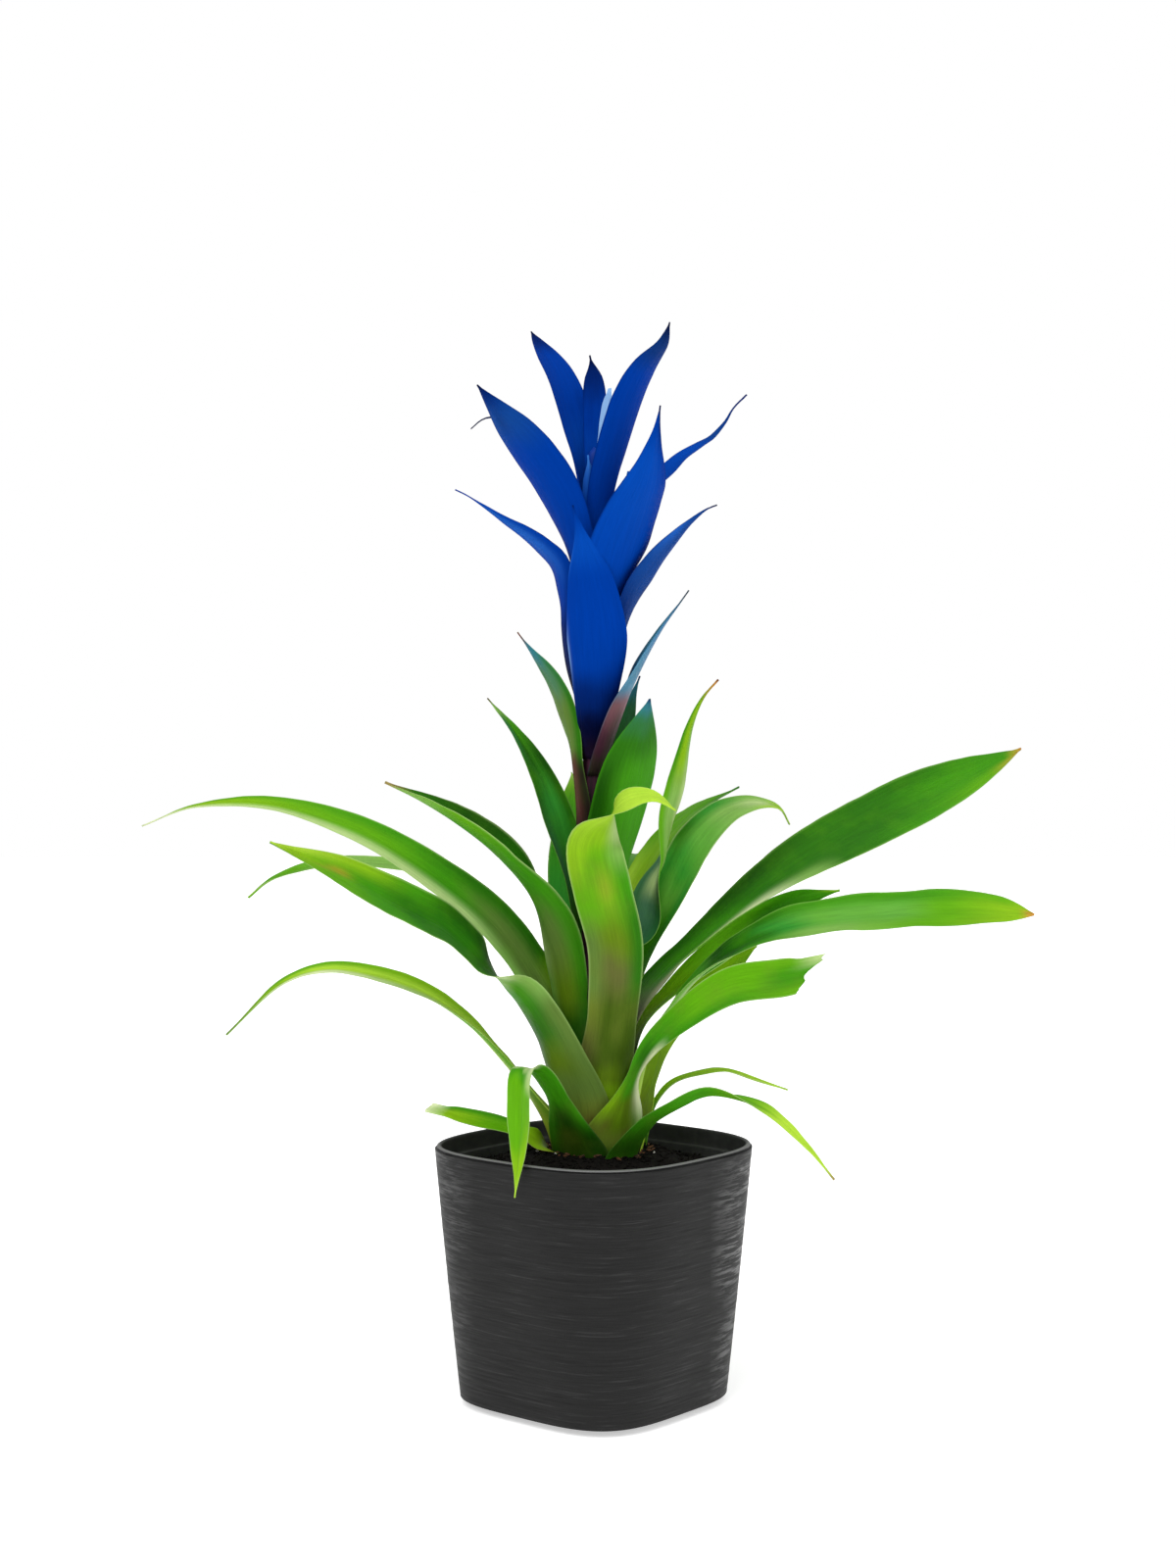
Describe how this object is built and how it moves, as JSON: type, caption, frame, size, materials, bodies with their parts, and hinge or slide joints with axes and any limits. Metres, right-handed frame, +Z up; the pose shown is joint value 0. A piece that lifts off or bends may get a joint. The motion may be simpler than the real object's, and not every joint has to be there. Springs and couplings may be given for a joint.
{
  "type": "potted guzmania",
  "caption": "Potted bromeliad: rosette of arching strap leaves round a stem with a spike of pointed blue bracts, growing in a rounded-square dark plastic planter with potting mix.",
  "frame": {"origin": "middle of the pot's foot, on the surface that the pot stands on", "axes": "+Z up along the pot; the picture looks along +Y, with +X to its right"},
  "size_m": [0.5, 0.2467, 0.5773],
  "materials": {
    "leaf": "smooth green blade with a soft sheen, paler and greyer underneath",
    "stem_leaf": "green blade turning teal and blue towards its tip, burgundy at its base",
    "bract": "satin royal blue with fine lengthwise veins",
    "petal": "soft pale blue",
    "stem": "matte dark burgundy",
    "pot": "charcoal plastic with fine horizontal brush lines",
    "potting_mix": "dark peat with bark chips and a few white grains"
  },
  "bodies": {
    "root": {"pot": "pot", "potting_mix": "potting_mix", "crown_and_stem": "stem", "leaf_low_left": "leaf", "leaf_low_right": "leaf", "leaf_low_back": "leaf", "leaf_low_right_thin": "leaf", "leaf_folded_front": "leaf", "leaf_left_arch": "leaf", "leaf_right_narrow": "leaf", "leaf_right_torn": "leaf", "leaf_back_left_arch": "leaf", "leaf_left_broad": "leaf", "leaf_right_level": "leaf", "leaf_front_curl": "leaf", "leaf_left_long": "leaf", "leaf_right_short": "leaf", "leaf_left_channel": "leaf", "leaf_right_long": "leaf", "leaf_right_hook": "leaf", "leaf_back": "leaf", "leaf_back_left": "leaf", "leaf_back_right": "leaf", "leaf_left_upright": "leaf", "leaf_right_upright": "leaf", "stem_leaf_right": "stem_leaf", "stem_leaf_back": "stem_leaf", "stem_leaf_left": "stem_leaf", "stem_leaf_teal": "stem_leaf", "bract_front": "bract", "bract_back_low": "bract", "bract_left_low": "bract", "bract_right_low": "bract", "bract_back_right": "bract", "bract_right": "bract", "bract_left": "bract", "bract_back_left": "bract", "bract_left_small": "bract", "bract_right_curly": "bract", "bract_top_right": "bract", "bract_top_back": "bract", "bract_top_left": "bract", "bract_top_middle": "bract", "petals_low": "petal", "petals_high": "petal"}
  },
  "joints": []
}
